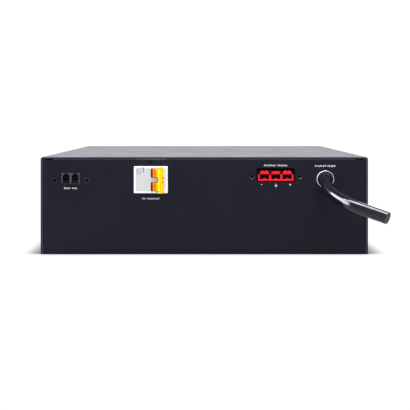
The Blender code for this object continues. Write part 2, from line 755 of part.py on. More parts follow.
def build_breaker_bracket(back):
    """Sheet bent round the breaker, above, behind and below, with a foot at each end."""
    front = BEHIND_PANEL
    top = RAIL_Z[1] + GAP
    bottom = RAIL_Z[0] - GAP
    outline = [
        (0.0, front, top + BRACKET_FOOT),
        (0.0, front, top),
        (0.0, back, top),
        (0.0, back, bottom),
        (0.0, front, bottom),
        (0.0, front, bottom - BRACKET_FOOT),
    ]
    half = BRACKET_WIDTH / 2
    start = (BREAKER_X + half, 0.0, 0.0)
    bracket = extruded_strip("breaker_bracket", outline, start, (-2 * half, 0.0, 0.0), PLATED_STEEL)
    thicken(bracket, SHEET)
    y = (front - THROUGH, front + SHEET + THROUGH)
    cut_round(bracket, "screw", SMALL_SHANK + GAP, y, (BREAKER_X, BREAKER_SCREW_Z), 16)


def on_pivot(part):
    """Puts a piece drawn about the toggle's pivot, pointing to -Y, in its thrown place."""
    part.location = (PIVOT_X, PIVOT_Y, part.location.z)
    part.rotation_euler = (0.0, 0.0, TOGGLE_ANGLE)


def pivot_box(name, x, y, z, surface):
    """A box drawn about the pivot; its origin stays on the pivot's axis."""
    part = add_box(name, x, y, z, surface)
    offset = Vector((middle(x), middle(y), 0.0))
    part.data.transform(Matrix.Translation(offset))
    on_pivot(part)
    return part


def build_toggles():
    """Two toggle drums and blades under one tie bar, thrown towards +X."""
    for level, z_middle in (("lower", POLE_Z[0]), ("upper", POLE_Z[1])):
        z = around(z_middle, DRUM_LENGTH / 2)
        drum = add_round(f"toggle_{level}", DRUM_RADIUS, z, (0.0, 0.0), TOGGLE_ORANGE, 32, "Z")
        on_pivot(drum)
        x = around(0.0, BLADE_THICKNESS / 2)
        y = (-BLADE_REACH, -DRUM_RADIUS / 2)
        z = around(z_middle, DRUM_LENGTH / 2 - BLADE_INSET)
        tool = pivot_box(f"join_blade_{level}", x, y, z, None)
        combine(drum, tool, "UNION")
    x = around(0.0, TIE_WIDTH / 2)
    z = around(BREAKER_Z, TIE_LENGTH / 2)
    bar = pivot_box("toggle_tie_bar", x, (-TIE_OUTER, -TIE_INNER), z, TIE_YELLOW)
    round_edges(bar, TIE_EDGE, 2, 60)


# --------------------------------------------------------- output connector

def pole_middles():
    """The middles of the three poles, from negative to positive."""
    return [OUTPUT_X + pole * POLE_PITCH for pole in (-1, 0, 1)]


def build_output():
    """Red three-pole housing: cavities below, guide tongues above, a blade in each cavity."""
    front = REAR + OUTPUT_SETBACK
    back = front + OUTPUT_DEPTH
    x = around(OUTPUT_X, OUTPUT_WIDTH / 2)
    housing = add_box("output_housing", x, (front, back), (OUTPUT_BOTTOM, OUTPUT_TOP), CONNECTOR_RED)
    shape_tongues(housing, x, (front - THROUGH, front + TONGUE_REACH))
    for middle_x, label in zip(pole_middles(), ("negative", "ground", "positive")):
        y = (front - THROUGH, front + CAVITY.y)
        z = (CAVITY_BOTTOM, CAVITY_BOTTOM + CAVITY.z)
        cut_box(housing, f"cavity_{label}", around(middle_x, CAVITY.x / 2), y, z)
        y = (front + CAVITY.y - THROUGH, back + THROUGH)
        z = around(BLADE_Z, BLADE.z / 2 + GAP)
        cut_box(housing, f"slot_{label}", around(middle_x, BLADE.x / 2 + GAP), y, z)
        x = around(middle_x, BLADE.x / 2)
        y = (front + BLADE_RECESS, front + BLADE_RECESS + BLADE.y)
        z = around(BLADE_Z, BLADE.z / 2)
        add_box(f"output_contact_{label}", x, y, z, CONTACT_SILVER)
    build_output_bracket()


def shape_tongues(housing, x, reach):
    """Frees a guide tongue over each pole, the outer two with a dip in their top."""
    half = TONGUE_WIDTH / 2
    ends = [x[0] - THROUGH]
    for middle_x in pole_middles():
        ends += [middle_x - half, middle_x + half]
    ends.append(x[1] + THROUGH)
    z = (TONGUE_BOTTOM, OUTPUT_TOP + THROUGH)
    for index in range(0, len(ends), 2):
        cut_box(housing, f"beside_{index}", (ends[index], ends[index + 1]), reach, z)
    z = (MIDDLE_TONGUE_TOP, OUTPUT_TOP + THROUGH)
    cut_box(housing, "middle", around(OUTPUT_X, half + THROUGH), reach, z)
    z = OUTPUT_TOP + DIP_RISE
    for middle_x in pole_middles()[::2]:
        cut_round(housing, "dip", DIP_RADIUS, reach, (middle_x, z), 16)
        for side in (-1, 1):
            cut_round(housing, "shoulder", SHOULDER_RADIUS, reach, (middle_x + side * half, z), 16)


def build_output_bracket():
    """Plate behind the panel that the housing sits in, with its two screws."""
    y = (BEHIND_PANEL, BEHIND_PANEL + SHEET)
    x = around(OUTPUT_X, OUTPUT_BRACKET.x / 2)
    z = around(OUTPUT_SCREW_Z, OUTPUT_BRACKET.y / 2)
    plate = add_box("output_bracket", x, y, z, PAINTED_STEEL)
    through = (y[0] - THROUGH, y[1] + THROUGH)
    x = around(OUTPUT_X, OUTPUT_WIDTH / 2 + GAP)
    cut_box(plate, "window", x, through, (OUTPUT_BOTTOM - GAP, OUTPUT_CUTOUT_Z[1]))
    for index, (x, label) in enumerate(zip(OUTPUT_SCREW_X, ("left", "right"))):
        cut_round(plate, f"screw_{index}", OUTPUT_SHANK + GAP, through, (x, OUTPUT_SCREW_Z), 16)
        build_screw(f"output_screw_{label}", (x, OUTPUT_SCREW_Z), OUTPUT_HEAD, OUTPUT_SHANK)


def build_screw(name, place, head, shank):
    """Pan-head screw through the rear panel, with a round socket in its head."""
    socket = head * SCREW_SOCKET_SHARE
    crown = head * SCREW_CROWN_SHARE
    profile = [(0.0, SCREW_SOCKET - SCREW_RISE), (socket, SCREW_SOCKET - SCREW_RISE)]
    profile += [(socket, -SCREW_RISE), (crown, -SCREW_RISE), (head, -SCREW_EDGE)]
    profile += [(head, -GAP), (shank, -GAP), (shank, SCREW_LENGTH), (0.0, SCREW_LENGTH)]
    turned(name, profile, REAR, place, SCREW_BLACK, 16)


# ------------------------------------------------------------- double jack

def jack_outline():
    """Plug opening with its latch notch, as (x, z) about the jack's middle."""
    return list(JACK_OPENING) + [(-x, z) for x, z in reversed(JACK_OPENING)]


def build_jacks():
    """Double jack block on its board, two stand-offs and two screws."""
    front = REAR - JACK_PROUD
    back = front + JACK_SIZE.y
    x = around(JACK_X, JACK_SIZE.x / 2)
    z = around(JACK_Z, JACK_SIZE.z / 2)
    block = add_box("jack_block", x, (front, back), z, JACK_GREY)
    for side in (-1, 1):
        middle_x = JACK_X + side * JACK_PITCH / 2
        y = (front - THROUGH, front + JACK_CAVITY_DEPTH)
        place = (middle_x, JACK_Z + JACK_CAVITY_RISE)
        combine(block, add_prism(f"cut_jack_{side}", jack_outline(), y, place, None), "DIFFERENCE")
        x = around(middle_x, JACK_OPENING[0][0])
        y = (front - THROUGH, front + JACK_LEDGE_DEPTH)
        cut_box(block, f"ledge_{side}", x, y, (JACK_Z + JACK_LEDGE[0], JACK_Z + JACK_LEDGE[1]))
    x = around(JACK_X, JACK_BOARD.x / 2)
    y = (back + GAP, back + GAP + JACK_BOARD.y)
    add_box("jack_board", x, y, around(JACK_Z, JACK_BOARD.z / 2), BOARD_GREEN)
    length = back - BEHIND_PANEL
    bore = SMALL_SHANK + GAP
    ring = [(bore, 0.0), (STANDOFF_RADIUS, 0.0), (STANDOFF_RADIUS, length), (bore, length)]
    for x, label in zip(JACK_SCREW_X, ("left", "right")):
        place = (x, JACK_SCREW_Z)
        turned(f"jack_standoff_{label}", ring, BEHIND_PANEL, place, PLATED_STEEL, 16)
        build_screw(f"jack_screw_{label}", place, JACK_HEAD, SMALL_SHANK)


# --------------------------------------------------------- gland and cable

def build_gland():
    """Light ring outside the panel, rubber bushing through it, hexagon nut behind."""
    place = (GLAND_X, GLAND_Z)
    outer = GLAND_RING_RADIUS
    edge = GLAND_RING_EDGE
    depth = GLAND_RING_DEPTH
    ring = [(GLAND_RING_BORE, -GAP), (GLAND_RING_BORE, -depth), (outer - edge, -depth)]
    ring += [(outer, edge - depth), (outer, -GAP)]
    turned("gland_ring", ring, REAR, place, RING_GREY, 48)
    bore = CABLE_RADIUS + GAP
    bushing = [(BUSHING_RADIUS, BUSHING_BACK)]
    bushing += [(BUSHING_RADIUS - inset, -proud) for inset, proud in BUSHING_LIP]
    bushing += [(bore, -BUSHING_PROUD), (bore, BUSHING_BACK)]
    turned("gland_bushing", bushing, REAR, place, RUBBER, 48)
    outline = arc((0.0, 0.0), LOCKNUT_RADIUS, 0, 300, 5)
    y = (BEHIND_PANEL, BEHIND_PANEL + LOCKNUT_THICKNESS)
    nut = add_prism("gland_locknut", outline, y, place, BLACK_PLASTIC)
    cut_round(nut, "bore", GLAND_RING_BORE, (y[0] - THROUGH, y[1] + THROUGH), place)


def build_cable():
    """The cable leaves the gland square, sags and swings to the right."""
    start = Vector((GLAND_X, REAR, GLAND_Z))
    line = smooth_line([start + Vector(offset) for offset in CABLE_KNOTS], 5)
    tube("battery_input_cable", line, CABLE_RADIUS, CABLE_BLACK, 3)


# ----------------------------------------------------------- fuse and leads

def build_fuse():
    """String fuse between two upright clips on the case floor."""
    top = FLOOR + FUSE_BASE.y
    base = add_box("fuse_base", around(FUSE_X, FUSE_BASE.x / 2), FUSE_Y, (FLOOR, top), BLACK_PLASTIC)
    clips = (FUSE_Y[0] + FUSE_CLIP_INSET, FUSE_Y[1] - FUSE_CLIP_INSET)
    for y, label in zip(clips, ("rear", "front")):
        x = around(FUSE_X, FUSE_CLIP.x / 2)
        join_box(base, label, x, around(y, FUSE_CLIP.y / 2), (top - THROUGH, top + FUSE_CLIP.z))
    inset = FUSE_CLIP.y / 2 + GAP
    span = (clips[0] + inset, clips[1] - inset)
    add_round("fuse_link", FUSE_RADIUS, span, (FUSE_X, FUSE_Z), FUSE_CERAMIC, 24)


def build_leads():
    """Heavy leads: fuse to breaker, and breaker to the output connector."""
    breaker_end = BREAKER_X + POLE_LENGTH / 2 + LEAD_RADIUS
    entry = REAR + LEAD_ENTRY
    clip_y = FUSE_Y[0] + FUSE_CLIP_INSET
    clip_top = FLOOR + FUSE_BASE.y + FUSE_CLIP.z + LEAD_RADIUS
    line = [
        (FUSE_X, clip_y, clip_top),
        (FUSE_X, clip_y + 0.002, clip_top + 0.020),
        (FUSE_X - 0.022, entry, POLE_Z[0] - 0.004),
        (breaker_end, entry, POLE_Z[0]),
    ]
    tube("lead_fuse_to_breaker", smooth_line(line, 4), LEAD_RADIUS, LEAD_RED)
    contact_back = REAR + BLADE_RECESS + BLADE.y + LEAD_RADIUS
    contact_x = OUTPUT_X - POLE_PITCH
    line = [
        (breaker_end, entry, POLE_Z[1]),
        (breaker_end + 0.030, entry + 0.016, POLE_Z[1] + 0.002),
        (contact_x - 0.020, contact_back + 0.014, BLADE_Z + 0.004),
        (contact_x, contact_back, BLADE_Z),
    ]
    tube("lead_breaker_to_output", smooth_line(line, 4), LEAD_RADIUS, LEAD_BLACK)


def build():
    build_cover()
    build_base()
    build_rear_panel()
    build_retainer()
    build_bezel()
    build_studs()
    build_insulation()
    build_batteries()
    build_breaker()
    build_toggles()
    build_output()
    build_jacks()
    build_gland()
    build_cable()
    build_fuse()
    build_leads()
    build_screw("breaker_screw", (BREAKER_X, BREAKER_SCREW_Z), BREAKER_HEAD, SMALL_SHANK)


build()
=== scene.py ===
"""Looks of the rack battery pack: materials, fine parts, prints, studio and camera."""

import json
import math

import bmesh
import bpy
from mathutils import Matrix, Quaternion, Vector


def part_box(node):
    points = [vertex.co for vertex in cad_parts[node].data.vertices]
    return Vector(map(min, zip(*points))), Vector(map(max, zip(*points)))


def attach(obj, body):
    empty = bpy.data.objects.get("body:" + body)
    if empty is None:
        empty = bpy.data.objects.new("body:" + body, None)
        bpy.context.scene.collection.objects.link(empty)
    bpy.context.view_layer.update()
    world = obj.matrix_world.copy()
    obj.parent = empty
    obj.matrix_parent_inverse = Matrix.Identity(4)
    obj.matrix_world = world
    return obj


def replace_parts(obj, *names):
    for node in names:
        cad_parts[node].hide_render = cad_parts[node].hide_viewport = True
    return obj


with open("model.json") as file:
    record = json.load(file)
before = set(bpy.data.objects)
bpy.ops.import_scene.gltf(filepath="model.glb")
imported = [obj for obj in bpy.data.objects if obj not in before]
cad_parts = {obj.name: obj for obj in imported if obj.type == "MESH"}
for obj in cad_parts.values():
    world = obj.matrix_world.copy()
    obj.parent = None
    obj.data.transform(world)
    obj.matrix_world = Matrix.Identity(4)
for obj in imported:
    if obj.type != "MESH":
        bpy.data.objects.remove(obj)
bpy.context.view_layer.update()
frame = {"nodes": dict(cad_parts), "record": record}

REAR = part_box("rear_panel")[0].y
JOINTS = {joint["name"]: joint for joint in frame["record"]["behaviour"]["joints"]}


def centre(node):
    low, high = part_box(node)
    return (low + high) / 2


# The toggles and their bar are drawn outwards and sideways from the breaker's pivot
PIVOT = Vector(JOINTS["breaker_throw"]["pos_m"])
OUTWARDS = centre("toggle_tie_bar") - PIVOT
OUTWARDS.z = 0.0
OUTWARDS.normalize()
SIDEWAYS = Vector((-OUTWARDS.y, OUTWARDS.x, 0.0))


# ---------------------------------------------------------------------- sizes

INK_THICKNESS = 0.00005

NOSE_HALF = 0.0225
NOSE_BORDER = 0.0024
POLE_JOINT_HEIGHT = 0.0011
DRUM_RADIUS = 0.0056
RIB_DEPTH = 0.00055
RIB_TURN = 24
RIB_SPAN = (34, 125)
BLADE_HALF = 0.0023
BLADE_REACH = 0.0089
TOGGLE_BEVEL = 0.0003
TIE_HALF = Vector((0.0022, 0.0038))
TIE_MIDDLE = 0.0109
TIE_SHIFT = 0.0003
TIE_GROOVE = 0.0004
NOTCH = 0.0009
NOTCH_LENGTH = 0.0013
NOTCH_SLOPE = 0.00005
PIN_SPREAD = 0.0029
PIN_ASIDE = 0.0025

# The cable's middle line from the gland's mouth: across, along and up
CABLE_KNOTS = (
    (0.0, 0.012, 0.0),
    (0.0, 0.0, 0.0),
    (0.0, -0.007, 0.0),
    (0.0, -0.016, 0.0),
    (-0.0010, -0.042, -0.0095),
    (0.0085, -0.073, -0.0195),
    (0.0270, -0.102, -0.0287),
    (0.0635, -0.123, -0.0412),
)
CABLE_RADIUS = 0.0077
CABLE_BORE = 0.0062
CABLE_CUT = 0.0020
CORE_RADIUS = 0.0026
CORE_BEVEL = 0.0002
CORE_LENGTH = 0.0018
CORES_FROM_MIDDLE = 0.0031
CORES_FIRST_TURN = 100
CORES = (("red", "lead_red"), ("black", "lead_black"), ("middle", "lead_black"))
BUNDLE_RADIUS = 0.0017
STRAND_RADIUS = 0.00052
STRAND_BEVEL = 0.00012
STRANDS_APART = 0.0011

SUNK_SHARE = 0.62
SHANK_RADIUS = 0.0012
RECESS_DEPTH = 0.0013
RECESS_TURN = 20
HEAD_LIFT = 0.0002

RING_INNER = 0.01075
RING_OUTER = 0.01140
RING_RIDGE = 0.01108
RING_BEVEL = 0.0005

POLE_PITCH = 0.0152
KEY_RIB_LENGTH = 0.0155
JACK_PITCH = 0.0120
WIRE_PITCH = 0.00127
WIRE_RADIUS = 0.00022


# ------------------------------------------------------------ shader building

class Shader:
    """One material's node tree, with short ways to add to it."""

    def __init__(self, name):
        self.material = bpy.data.materials.new(name)
        self.material.use_nodes = True
        self.tree = self.material.node_tree
        self.tree.nodes.clear()
        self.output = self.node("ShaderNodeOutputMaterial")
        self.place = self.node("ShaderNodeTexCoord").outputs["Object"]

    def node(self, kind, **settings):
        made = self.tree.nodes.new(kind)
        for name, value in settings.items():
            setattr(made, name, value)
        return made

    def feed(self, socket, value):
        """Links an output to a socket, or sets the socket to a plain value."""
        if isinstance(value, bpy.types.NodeSocket):
            self.tree.links.new(value, socket)
        else:
            socket.default_value = value

    def maths(self, operation, first, second=0.0, clamp=False):
        made = self.node("ShaderNodeMath", operation=operation, use_clamp=clamp)
        self.feed(made.inputs[0], first)
        self.feed(made.inputs[1], second)
        return made.outputs[0]

    def remap(self, value, low, high, to_low=0.0, to_high=1.0, smooth=False):
        made = self.node("ShaderNodeMapRange")
        if smooth:
            made.interpolation_type = "SMOOTHSTEP"
        for socket, item in zip(made.inputs, (value, low, high, to_low, to_high)):
            self.feed(socket, item)
        return made.outputs[0]

    def mix(self, share, first, second):
        """A blend of two colours."""
        made = self.node("ShaderNodeMix", data_type="RGBA")
        for index, value in ((0, share), (6, first), (7, second)):
            if isinstance(value, tuple) and len(value) == 3:
                value = (*value, 1.0)
            self.feed(made.inputs[index], value)
        return made.outputs[2]

    def noise(self, scale, detail=2.0, roughness=0.5, stretch=None):
        """Noise with features about 1 / scale metres wide."""
        made = self.node("ShaderNodeTexNoise")
        place = self.place
        if stretch:
            mapping = self.node("ShaderNodeMapping")
            mapping.inputs["Scale"].default_value = stretch
            self.feed(mapping.inputs["Vector"], place)
            place = mapping.outputs["Vector"]
        self.feed(made.inputs["Vector"], place)
        made.inputs["Scale"].default_value = scale
        made.inputs["Detail"].default_value = detail
        made.inputs["Roughness"].default_value = roughness
        return made.outputs["Fac"]

    def axis(self, letter):
        """One coordinate of the shaded point, in metres."""
        made = self.node("ShaderNodeSeparateXYZ")
        self.feed(made.inputs[0], self.place)
        return made.outputs[letter]

    def along(self, direction):
        """How far the shaded point lies along a direction, in metres."""
        made = self.node("ShaderNodeVectorMath", operation="DOT_PRODUCT")
        self.feed(made.inputs[0], self.place)
        made.inputs[1].default_value = direction
        return made.outputs["Value"]

    def edges(self, radius):
        """A softened normal, and how near the point is to a sharp edge."""
        soft = self.node("ShaderNodeBevel", samples=4)
        soft.inputs["Radius"].default_value = radius
        flat = self.node("ShaderNodeNewGeometry")
        compare = self.node("ShaderNodeVectorMath", operation="DOT_PRODUCT")
        self.feed(compare.inputs[0], soft.outputs["Normal"])
        self.feed(compare.inputs[1], flat.outputs["Normal"])
        return soft.outputs["Normal"], self.remap(compare.outputs["Value"], 0.985, 0.80)


def lighter(colour, factor):
    return tuple(min(1.0, channel * factor) for channel in colour)


def finish(name, colour, roughness, metallic=0.0, grain=900.0, depth=0.00003, mottle=0.10,
           worn=None, wear=0.5, edge=0.0004, scratches=0.0, dust=0.0, specular=0.5,
           coat=0.0, brushed=None, shade=None):
    """A surface with grain, mottling, edge wear, scratches and settled dust.

    grain is the texture's fineness per metre and depth its height. brushed is
    a stretch that turns the grain into lines. shade may paint shade or a highlight into the colour.
    """
    s = Shader(name)
    fine = s.noise(grain, 3.0, 0.6, brushed)
    broad = s.noise(16.0, 4.0, 0.6)
    base = s.mix(broad, lighter(colour, 1 - mottle), lighter(colour, 1 + mottle))
    base = s.mix(s.maths("MULTIPLY", fine, 0.5), base, lighter(colour, 1 + mottle / 2))
    rough = s.remap(s.maths("ADD", fine, broad), 0.6, 1.4, roughness - 0.05, roughness + 0.07)
    normal, edge_mask = s.edges(edge)
    rubbed = s.maths("MULTIPLY", edge_mask, s.remap(s.noise(220.0, 3.0), 0.42, 0.62), True)
    rubbed = s.maths("MULTIPLY", rubbed, wear, True)
    base = s.mix(rubbed, base, worn or lighter(colour, 1.6))
    height = fine
    if scratches:
        lines = s.remap(s.noise(7.0, 2.0, 0.5, (9.0, 160.0, 60.0)), 0.655, 0.70)
        lines = s.maths("MULTIPLY", lines, scratches, True)
        base = s.mix(lines, base, lighter(colour, 2.0))
        rough = s.maths("SUBTRACT", rough, s.maths("MULTIPLY", lines, 0.12))
        height = s.maths("SUBTRACT", fine, lines)
    if dust:
        up = s.node("ShaderNodeSeparateXYZ")
        s.feed(up.inputs[0], s.node("ShaderNodeNewGeometry").outputs["Normal"])
        lying = s.remap(up.outputs["Z"], 0.5, 1.0, 0.0, dust)
        specks = s.maths("MULTIPLY", lying, s.remap(s.noise(60.0, 5.0, 0.7), 0.35, 0.75))
        base = s.mix(specks, base, (0.30, 0.29, 0.28))
        rough = s.maths("ADD", rough, s.maths("MULTIPLY", specks, 0.4), True)
    if shade:
        base = shade(s, base)
    bump = s.node("ShaderNodeBump")
    bump.inputs["Distance"].default_value = depth
    s.feed(bump.inputs["Height"], height)
    s.feed(bump.inputs["Normal"], normal)
    skin = s.node("ShaderNodeBsdfPrincipled")
    skin.inputs["Metallic"].default_value = metallic
    skin.inputs["Specular IOR Level"].default_value = specular
    skin.inputs["Coat Weight"].default_value = coat
    skin.inputs["Coat Roughness"].default_value = 0.08
    s.feed(skin.inputs["Base Color"], base)
    s.feed(skin.inputs["Roughness"], rough)
    s.feed(skin.inputs["Normal"], bump.outputs["Normal"])
    s.feed(s.output.inputs["Surface"], skin.outputs["BSDF"])
    return s.material


def painted_shade_behind(node, colour, start, end):
    """Painted shade: the colour fades to a dark one inside a node's openings, by depth behind its front.
    """
    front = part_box(node)[0].y

    def shade(s, base):
        share = s.remap(s.axis("Y"), front + start, front + end, 0.0, 0.97, True)
        return s.mix(share, base, colour)

    return shade


def inner_panel(s, base):
    """The breaker's nose is greyer inside a pale border, less so to the right of the toggles. There the
    field is lighter and bluish: painted light that offsets the tie bar's shadow.
    """
    low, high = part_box("breaker_pole_lower")
    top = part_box("breaker_pole_upper")[1].z
    half_width = NOSE_HALF - NOSE_BORDER
    half_height = (top - low.z) / 2 - NOSE_BORDER
    soft = 0.0003
    across = s.maths("ABSOLUTE", s.maths("SUBTRACT", s.axis("X"), (low.x + high.x) / 2))
    upright = s.maths("ABSOLUTE", s.maths("SUBTRACT", s.axis("Z"), (low.z + top) / 2))
    inside = s.maths("MULTIPLY", s.remap(across, half_width + soft, half_width - soft),
                     s.remap(upright, half_height + soft, half_height - soft))
    right_side = s.remap(s.axis("X"), PIVOT.x + 0.006, PIVOT.x + 0.009)
    field = s.mix(right_side, (0.62, 0.615, 0.635), (0.70, 0.70, 0.85))
    return s.mix(inside, base, field)


def painted_drum_shade(s, base):
    """Painted shade: the drum's rear half is brown, and the valleys between its ribs are redder."""
    across = s.maths("SUBTRACT", s.axis("X"), PIVOT.x)
    deep = s.maths("SUBTRACT", s.axis("Y"), PIVOT.y)
    square = s.maths("ADD", s.maths("MULTIPLY", across, across), s.maths("MULTIPLY", deep, deep))
    ridge = DRUM_RADIUS - 0.1 * RIB_DEPTH
    valley = s.remap(s.maths("SQRT", square), ridge, DRUM_RADIUS - 0.8 * RIB_DEPTH)
    base = s.mix(s.maths("MULTIPLY", valley, 0.75), base, (0.62, 0.085, 0.001))
    behind = PIVOT.dot(OUTWARDS) + 0.0012
    return s.mix(s.remap(s.along(OUTWARDS), behind, behind - 0.0003), base, (0.085, 0.012, 0.003))


def tie_shadow(s, base):
    """Painted shadow: the tie bar's inner side is dark between the toggles and just past their ends."""
    start = PIVOT.dot(OUTWARDS) + TIE_MIDDLE + 0.0003
    inner = s.remap(s.along(OUTWARDS), start, start - 0.0005)
    level = s.maths("ABSOLUTE", s.maths("SUBTRACT", s.axis("Z"), PIVOT.z))
    between = s.remap(level, 0.0034, 0.0029)
    past = s.remap(s.maths("ABSOLUTE", s.maths("SUBTRACT", level, 0.0150)), 0.0009, 0.0005)
    share = s.maths("MULTIPLY", inner, s.maths("MAXIMUM", between, past))
    return s.mix(s.maths("MULTIPLY", share, 0.92), base, (0.09, 0.006, 0.05))


def white_case(s, base):
    """The breaker's nose has its grey field, and its body behind the panel is painted dark as shade."""
    share = s.remap(s.axis("Y"), REAR - 0.0002, REAR + 0.0010, 0.0, 0.96)
    return s.mix(share, inner_panel(s, base), (0.01, 0.01, 0.012))


def painted_hem_highlight(s, base):
    """A painted highlight: the case's rear hem is paler, though not along its outermost edge."""
    low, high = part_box("outer_cover")
    front = s.remap(s.axis("Y"), low.y + 0.0016, low.y + 0.0008)
    inner = s.remap(s.maths("ABSOLUTE", s.axis("X")), high.x - 0.0010, high.x - 0.0016)
    return s.mix(s.maths("MULTIPLY", s.maths("MULTIPLY", front, inner), 0.62), base, (0.052, 0.052, 0.074))


def jack_shade(s, base):
    """Painted shade: black inside the jacks and dim along the block's bottom."""
    base = painted_shade_behind("jack_block", (0.002, 0.002, 0.002), 0.0002, 0.0016)(s, base)
    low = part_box("jack_block")[0].z
    return s.mix(s.remap(s.axis("Z"), low + 0.0016, low + 0.0010, 0.0, 0.75), base, (0.006, 0.006, 0.008))


def dark_upper_half(s, base):
    """Painted shade: the output screws' cups are darker above the middle, where their lip would shade
    them.
    """
    middle = centre("output_screw_left").z
    share = s.remap(s.axis("Z"), middle - 0.0003, middle + 0.0009, 0.0, 0.93)
    return s.mix(share, base, (0.008, 0.008, 0.010))


LOOKS = {
    "painted_steel": finish("powder_coat", (0.0058, 0.0058, 0.0145), 0.44, grain=1400.0, depth=0.00004,
                            mottle=0.06, worn=(0.05, 0.05, 0.06), wear=0.35, edge=0.0006,
                            scratches=0.10, dust=0.02, specular=0.16),
    "bezel_plastic": finish("bezel_plastic", (0.016, 0.016, 0.020), 0.50, grain=1900.0, depth=0.00006,
                            worn=(0.05, 0.05, 0.055), wear=0.4, edge=0.0008, scratches=0.06,
                            dust=0.05, specular=0.4),
    "plated_steel": finish("zinc_plate", (0.52, 0.53, 0.54), 0.34, 1.0, grain=60.0, mottle=0.16,
                           depth=0.00002, worn=(0.72, 0.73, 0.74), brushed=(1.0, 24.0, 1.0)),
    "battery_case": finish("battery_case", (0.045, 0.045, 0.05), 0.58, grain=1500.0, dust=0.10),
    "breaker_white": finish("breaker_white", (0.94, 0.94, 0.95), 0.42, grain=1500.0, mottle=0.03,
                            depth=0.00002, worn=(0.96, 0.96, 0.96), wear=0.6, edge=0.0007,
                            shade=white_case),
    "toggle_orange": finish("toggle_orange", (0.78, 0.290, 0.001), 0.55, grain=1700.0, mottle=0.05,
                            worn=(0.90, 0.48, 0.03), wear=0.5, specular=0.05, shade=painted_drum_shade),
    "tie_yellow": finish("tie_yellow", (0.88, 0.60, 0.006), 0.46, grain=1700.0, mottle=0.04,
                         worn=(1.0, 0.90, 0.06), wear=0.5, specular=0.12, shade=tie_shadow),
    # The connector's red and its contacts fade to near black inside the cavities: painted shade.
    "connector_red": finish("connector_red", (0.86, 0.005, 0.018), 0.42, grain=1600.0, mottle=0.06,
                            depth=0.00002, worn=(0.95, 0.06, 0.08), wear=0.5, specular=0.20,
                            shade=painted_shade_behind("output_housing", (0.003, 0.001, 0.001), 0.0003, 0.0018)),
    "contact_silver": finish("silver_plate", (0.30, 0.29, 0.27), 0.30, 1.0, grain=90.0, mottle=0.12,
                             depth=0.00001, brushed=(20.0, 1.0, 1.0),
                             shade=painted_shade_behind("output_housing", (0.004, 0.003, 0.003), 0.008, 0.014)),
    "jack_plastic": finish("jack_plastic", (0.058, 0.054, 0.076), 0.50, grain=2000.0, edge=0.0003,
                           specular=0.2, shade=jack_shade),
    "board": finish("solder_mask", (0.015, 0.13, 0.05), 0.38, grain=500.0, mottle=0.2),
    "black_screw": finish("black_oxide", (0.018, 0.018, 0.022), 0.42, grain=1500.0,
                          worn=(0.06, 0.06, 0.065), wear=0.35, edge=0.0003, specular=0.3),
    "ring_grey": finish("ring_nylon", (0.84, 0.84, 0.87), 0.36, grain=1200.0, mottle=0.04, specular=0.3),
    "rubber": finish("rubber", (0.008, 0.008, 0.010), 0.66, grain=2400.0, depth=0.00005, specular=0.2),
    "nut_plastic": finish("black_nylon", (0.018, 0.018, 0.020), 0.50, grain=1300.0),
    "cable_sheath": finish("cable_sheath", (0.0030, 0.0030, 0.0080), 0.13, grain=90.0, depth=0.0000015,
                           mottle=0.15, wear=0.0, specular=0.50),
    "insulation": finish("polyester_sheet", (0.62, 0.58, 0.44), 0.40, grain=300.0),
    "fuse_body": finish("fuse_ceramic", (0.74, 0.71, 0.65), 0.55, grain=1100.0),
    "lead_red": finish("lead_red", (0.24, 0.008, 0.008), 0.50, grain=900.0),
    "lead_black": finish("lead_black", (0.016, 0.016, 0.018), 0.40, grain=900.0),
}
WHITE_INK = finish("white_ink", (0.80, 0.80, 0.82), 0.55, grain=2500.0, mottle=0.08, wear=0.0)
GREY_INK = finish("grey_ink", (0.11, 0.11, 0.13), 0.55, grain=2500.0, mottle=0.08, wear=0.0)
COPPER = finish("copper_strands", (0.09, 0.055, 0.045), 0.50, 1.0, grain=1500.0, depth=0.0002)
GOLD = finish("gold_plate", (0.90, 0.66, 0.28), 0.22, 1.0, grain=600.0, depth=0.00001)
AMBER = finish("amber_plastic", (0.92, 0.10, 0.001), 0.40, grain=1500.0, specular=0.2)
# The output bracket is near black, darker than the case's paint: painted shade for the recess round the
# connector.
DARK_BRACKET = finish("bracket_black", (0.0022, 0.0022, 0.0028), 0.60, grain=1400.0, specular=0.08)
CUP_NICKEL = finish("black_nickel", (0.17, 0.17, 0.18), 0.40, 1.0, grain=1400.0, depth=0.00001,
                    worn=(0.24, 0.24, 0.25), wear=0.3, edge=0.0003, shade=dark_upper_half)
CUP_BLACK = finish("cup_black", (0.018, 0.018, 0.024), 0.50, grain=1400.0, worn=(0.03, 0.03, 0.036),
                   wear=0.3, edge=0.0003, specular=0.3)
SUNK_SCREW = finish("sunk_black_oxide", (0.0012, 0.0012, 0.0020), 0.60, grain=1500.0,
                    worn=(0.006, 0.006, 0.007), wear=0.2, edge=0.0003, specular=0.05)
# The hem's finish carries a painted highlight on the case's rear hem.
HEM_PAINT = finish("hem_powder_coat", (0.0058, 0.0058, 0.0145), 0.44, grain=1400.0, depth=0.00004,
                   mottle=0.06, worn=(0.03, 0.03, 0.04), wear=0.15, edge=0.0004, scratches=0.10,
                   dust=0.02, specular=0.14, shade=painted_hem_highlight)
FILLER = finish("cable_filler", (0.10, 0.10, 0.10), 0.8, grain=1800.0, depth=0.0002, wear=0.0)

for row in frame["record"]["subparts"]:
    node = frame["nodes"][row["node"]]
    if not node.data.materials:
        node.data.materials.append(None)
    for material_slot in node.material_slots:
        material_slot.material = LOOKS[row["material_slot"]]
for node, look in (("outer_cover", HEM_PAINT), ("output_bracket", DARK_BRACKET)):
    for material_slot in frame["nodes"][node].material_slots:
        material_slot.material = look


# -------------------------------------------------------------- mesh building

